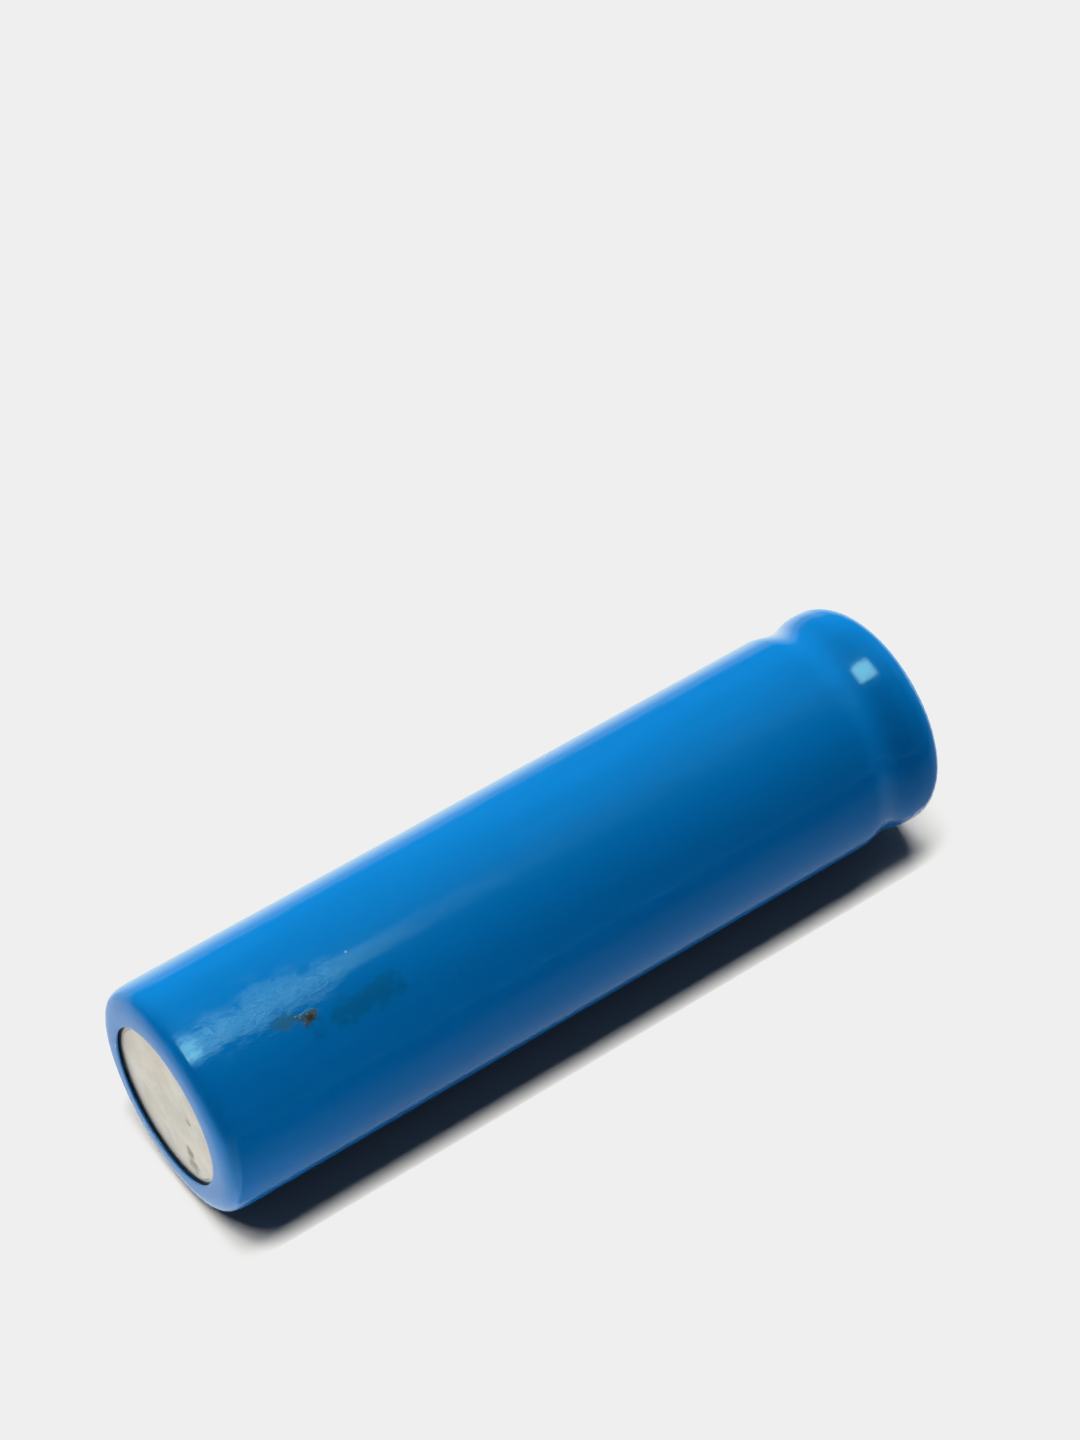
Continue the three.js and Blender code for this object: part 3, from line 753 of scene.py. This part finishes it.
class CELL_OT_cap(bpy.types.Operator):
    """Make the pressed positive cap, a sheet with a flat contact and gas windows in its skirt"""

    bl_idname = "cell.cap"
    bl_label = "Positive cap"

    # Sizes in millimetres and degrees.
    sheet = 0.34
    flat = 4.05
    corner = 0.2
    skirt_top = 4.55
    skirt_foot = 5.15
    rim = 8.15
    window_low = 0.14
    window_high = 0.74
    windows = 4
    window_half_angle = 13.0

    def execute(self, context):
        top = (CAP_HIGH.x - FIRST_STATION) / MM
        flange = (CAP_LOW.x - FIRST_STATION) / MM + self.sheet
        low, high = flange + self.window_low, flange + self.window_high
        outline = [(top, 0), (top, 2), (top, self.flat)]
        for degrees in (30, 60, 82):
            turn = math.radians(degrees)
            outline.append((
                top - self.corner * (1 - math.cos(turn)), self.flat + self.corner * math.sin(turn),
            ))
        outline += [(high, self.skirt_top), (low, self.skirt_foot)]
        outline += [(flange + 0.04, self.skirt_foot + 0.1), (flange, self.skirt_foot + 0.2)]
        outline.append((flange, self.rim))
        bm = spun(outline, context.scene.cell_sizes.cap_sectors)
        gone = [face for face in bm.faces if self.in_window(face, low, high)]
        bmesh.ops.delete(bm, geom=gone, context="FACES")
        mesh = mesh_from(bm, "cap_sheet")
        nickel = bpy.data.materials["nickel_plate"]
        piece = made("cap_sheet", mesh, nickel, "positive_cap")
        thicken(piece, self.sheet * MM)
        soften(piece, 0.03 * MM, angle=50.0)
        return {"FINISHED"}

    def in_window(self, face, low, high):
        """True for a face of the skirt that a gas window takes away."""
        middle = face.calc_center_median()
        station = (middle.x - FIRST_STATION) / MM
        if not low < station < high:
            return False
        angle = math.degrees(math.atan2(middle.z - AXIS_HEIGHT, middle.y))
        pitch = 360 / self.windows
        return abs((angle % pitch) - pitch / 2) < self.window_half_angle


class CELL_OT_core(bpy.types.Operator):
    """Give the pieces inside the can their finishes"""

    bl_idname = "cell.core"
    bl_label = "Inner pieces"

    def execute(self, context):
        look = context.scene.cell_finishes
        finishes = inner_finishes(look)
        finishes["nickel_plated_steel"] = nickel_plate(look)
        for entry in frame["record"]["subparts"]:
            if entry["material_slot"] in finishes:
                node = frame["nodes"][entry["node"]]
                node.data.materials.clear()
                node.data.materials.append(finishes[entry["material_slot"]])
        return {"FINISHED"}


# ---------------------------------------------------------------- stage


class CELL_OT_stage(bpy.types.Operator):
    """Make the pale floor, the lights and the camera"""

    bl_idname = "cell.stage"
    bl_label = "Stage"

    floor_reach = 6.0
    card_reach = 1.5

    def execute(self, context):
        stage = context.scene.cell_stage
        self.tone(context.scene.view_settings, stage)
        self.lights(context.scene, stage, self.floor(stage))
        self.camera(context.scene, stage)
        return {"FINISHED"}

    def floor(self, stage):
        """A flat pale floor that only the row of suns lights."""
        bm = bmesh.new()
        bmesh.ops.create_grid(bm, x_segments=2, y_segments=2, size=self.floor_reach)
        mesh = bpy.data.meshes.new("floor")
        bm.to_mesh(mesh)
        bm.free()
        floor = bpy.data.objects.new("floor", mesh)
        bpy.context.scene.collection.objects.link(floor)
        tree = Tree("pale_floor")
        grain = tree.noise(1.5 * MM, tree.place(), detail=2.0)
        color = tree.mix(grain, rgba(shade(stage.floor, 0.995)), rgba(shade(stage.floor, 1.005)))
        mesh.materials.append(tree.finish(color, 0.9, Specular_IOR_Level=0.0))
        return floor

    def tone(self, view, stage):
        """Lets the lit floor reach one even pale grey, as an overexposed sweep does."""
        view.view_transform = "Standard"
        view.use_curve_mapping = True
        curve = view.curve_mapping.curves[3]  # The curve for all three channels.
        curve.points[0].location = (0, 0)
        curve.points[1].location = (1, stage.white)
        for x, y in ((0.35, 0.35), (0.68, 0.68), (0.8, 0.785), (0.9, 0.845)):
            curve.points.new(x, y)
        view.curve_mapping.extend = "HORIZONTAL"
        view.curve_mapping.update()

    def lights(self, scene, stage, floor):
        """A row of suns lights the floor, and a wide glow from behind lights the cell."""
        for step in (-1, 0, 1):
            turn = (stage.row_lean, stage.row_middle + step * stage.row_reach, 0)
            lamp = self.sun("floor_light", stage.row, stage.row_spread, turn)
            lamp.data.color = stage.row_color
            self.link_light(lamp, floor, "INCLUDE")
        turn = Vector(stage.glow_from).to_track_quat("Z", "Y").to_euler()
        glow = self.sun("glow_from_behind", stage.glow, stage.glow_spread, turn)
        glow.data.color = stage.glow_color
        self.link_light(glow, floor, "EXCLUDE")
        self.panel(stage)
        self.floor_cards(stage)
        self.world(scene, stage)

    def sun(self, name, strength, spread, turn):
        """A sun that the gloss doesn't mirror."""
        light = bpy.data.lights.new(name, "SUN")
        light.energy = strength
        light.angle = spread
        lamp = bpy.data.objects.new(name, light)
        lamp.rotation_euler = turn
        lamp.visible_glossy = False
        bpy.context.scene.collection.objects.link(lamp)
        return lamp

    def link_light(self, lamp, floor, state):
        """Lights only the floor, or all but the floor."""
        group = bpy.data.collections.new(f"lit_by_{lamp.name}")
        group.objects.link(floor)
        group.collection_objects[0].light_linking.link_state = state
        lamp.light_linking.receiver_collection = group

    def world(self, scene, stage):
        """Pale to the camera, and a dim blue to all else."""
        world = bpy.data.worlds.new("room")
        world.use_nodes = True
        nodes, links = world.node_tree.nodes, world.node_tree.links
        dim = nodes["Background"]
        dim.inputs["Color"].default_value = rgba(stage.ambient)
        pale = nodes.new("ShaderNodeBackground")
        pale.inputs["Color"].default_value = (stage.white, stage.white, stage.white, 1)
        seen = nodes.new("ShaderNodeMixShader")
        links.new(nodes.new("ShaderNodeLightPath").outputs["Is Camera Ray"], seen.inputs[0])
        links.new(dim.outputs[0], seen.inputs[1])
        links.new(pale.outputs[0], seen.inputs[2])
        links.new(seen.outputs[0], nodes["World Output"].inputs["Surface"])
        scene.world = world

    def card(self, name, low, high, height, glow, glossy=True):
        """A level card from corner to corner, lit by glow(tree, x, y).

        Either the gloss alone sees it or, if it isn't glossy, soft light alone does.
        """
        bm = bmesh.new()
        bmesh.ops.create_grid(bm, x_segments=1, y_segments=1, size=1.0)
        across, along = (high[0] - low[0]) / 2, (high[1] - low[1]) / 2
        bmesh.ops.scale(bm, vec=(across, along, 1), verts=bm.verts)
        middle = (low[0] + across, low[1] + along, height)
        bmesh.ops.translate(bm, vec=middle, verts=bm.verts)
        mesh = bpy.data.meshes.new(name)
        bm.to_mesh(mesh)
        bm.free()
        card = bpy.data.objects.new(name, mesh)
        bpy.context.scene.collection.objects.link(card)
        tree = Tree(f"{name}_face")
        place = tree.add("ShaderNodeSeparateXYZ")
        tree.feed(place.inputs[0], tree.add("ShaderNodeTexCoord").outputs["Object"])
        strength = glow(tree, place.outputs[0], place.outputs[1])
        tree.feed(tree.shader.inputs["Emission Strength"], strength)
        tree.shader.inputs["Emission Color"].default_value = (1, 1, 1, 1)
        mesh.materials.append(tree.finish((0, 0, 0, 1), Specular_IOR_Level=0.0))
        card.visible_camera = False
        card.visible_diffuse = not glossy
        card.visible_glossy = glossy
        card.visible_shadow = False

    def panel(self, stage):
        """A panel overhead, fading towards its far end."""
        def glow(tree, x, y):
            return tree.span(x, 0.1, 0.365, stage.panel, 0.0)

        self.card("panel", (-0.62, -0.16), (0.5, 0.165), 1.0, glow)

    def floor_cards(self, stage):
        """Cards just over the floor that dim it for the cell's gloss and for its near side."""
        def front(tree, x, y):
            far = tree.span(y, -55 * MM, -14 * MM, 0.0, stage.flag)
            return tree.math("ADD", far, tree.span(y, -22 * MM, -10 * MM, 0.0, 0.05))

        def side(tree, x, y):
            along = tree.span(x, -110 * MM, -44 * MM, 0.12, 0.8)
            return tree.math("MULTIPLY", along, tree.span(y, -50 * MM, -6 * MM, 0.4, 1.0))

        def back(tree, x, y):
            return tree.span(y, 15 * MM, 130 * MM, 1.3, 0.5)

        def dim(tree, x, y):
            return tree.span(y, -90 * MM, -10 * MM, 0.18, 0.62)

        far, end, rear = self.card_reach, -33 * MM, 14 * MM
        low, high = 0.02 * MM, 0.03 * MM
        self.card("flag", (end, -far), (far, -8.6 * MM), low, front)
        self.card("side_flag", (-far, -far), (end, far), low, side)
        self.card("back_flag", (end, rear), (far, far), low, back)
        self.card("dim_flag", (-31 * MM, -far), (far, -9.5 * MM), high, dim, glossy=False)

    def camera(self, scene, stage):
        """A camera that looks down at the cell from beyond its negative end."""
        data = bpy.data.cameras.new("camera")
        data.lens = stage.lens
        data.sensor_width = 36
        data.clip_start = 0.01
        camera = bpy.data.objects.new("camera", data)
        turn = Matrix.Rotation(stage.camera_turn, 4, "Z")
        tip = Matrix.Rotation(math.pi / 2 - stage.camera_tilt, 4, "X")
        away = Matrix.Translation((0, 0, stage.camera_distance))
        camera.matrix_world = Matrix.Translation(stage.camera_aim) @ turn @ tip @ away
        scene.collection.objects.link(camera)
        scene.camera = camera


# ---------------------------------------------------------------- panel and main

STEPS = (CELL_OT_core, CELL_OT_sleeve, CELL_OT_can, CELL_OT_washer, CELL_OT_cap, CELL_OT_stage)
GROUPS = {"cell_sizes": CellSizes, "cell_finishes": CellFinishes, "cell_stage": StageSettings}


class CELL_PT_looks(bpy.types.Panel):
    """Lists the steps that build the cell's looks"""

    bl_idname = "CELL_PT_looks"
    bl_label = "Battery cell"
    bl_space_type = "VIEW_3D"
    bl_region_type = "UI"
    bl_category = "Cell"

    def draw(self, context):
        for step in STEPS:
            self.layout.operator(step.bl_idname)


def register():
    for cls in (*GROUPS.values(), *STEPS, CELL_PT_looks):
        bpy.utils.register_class(cls)
    for name, group in GROUPS.items():
        setattr(bpy.types.Scene, name, PointerProperty(type=group))


def unregister():
    for name in GROUPS:
        delattr(bpy.types.Scene, name)
    for cls in (CELL_PT_looks, *reversed(STEPS), *reversed(list(GROUPS.values()))):
        bpy.utils.unregister_class(cls)


def main():
    register()
    for step in STEPS:
        group, name = step.bl_idname.split(".")
        getattr(getattr(bpy.ops, group), name)()


if __name__ == "__main__":
    main()
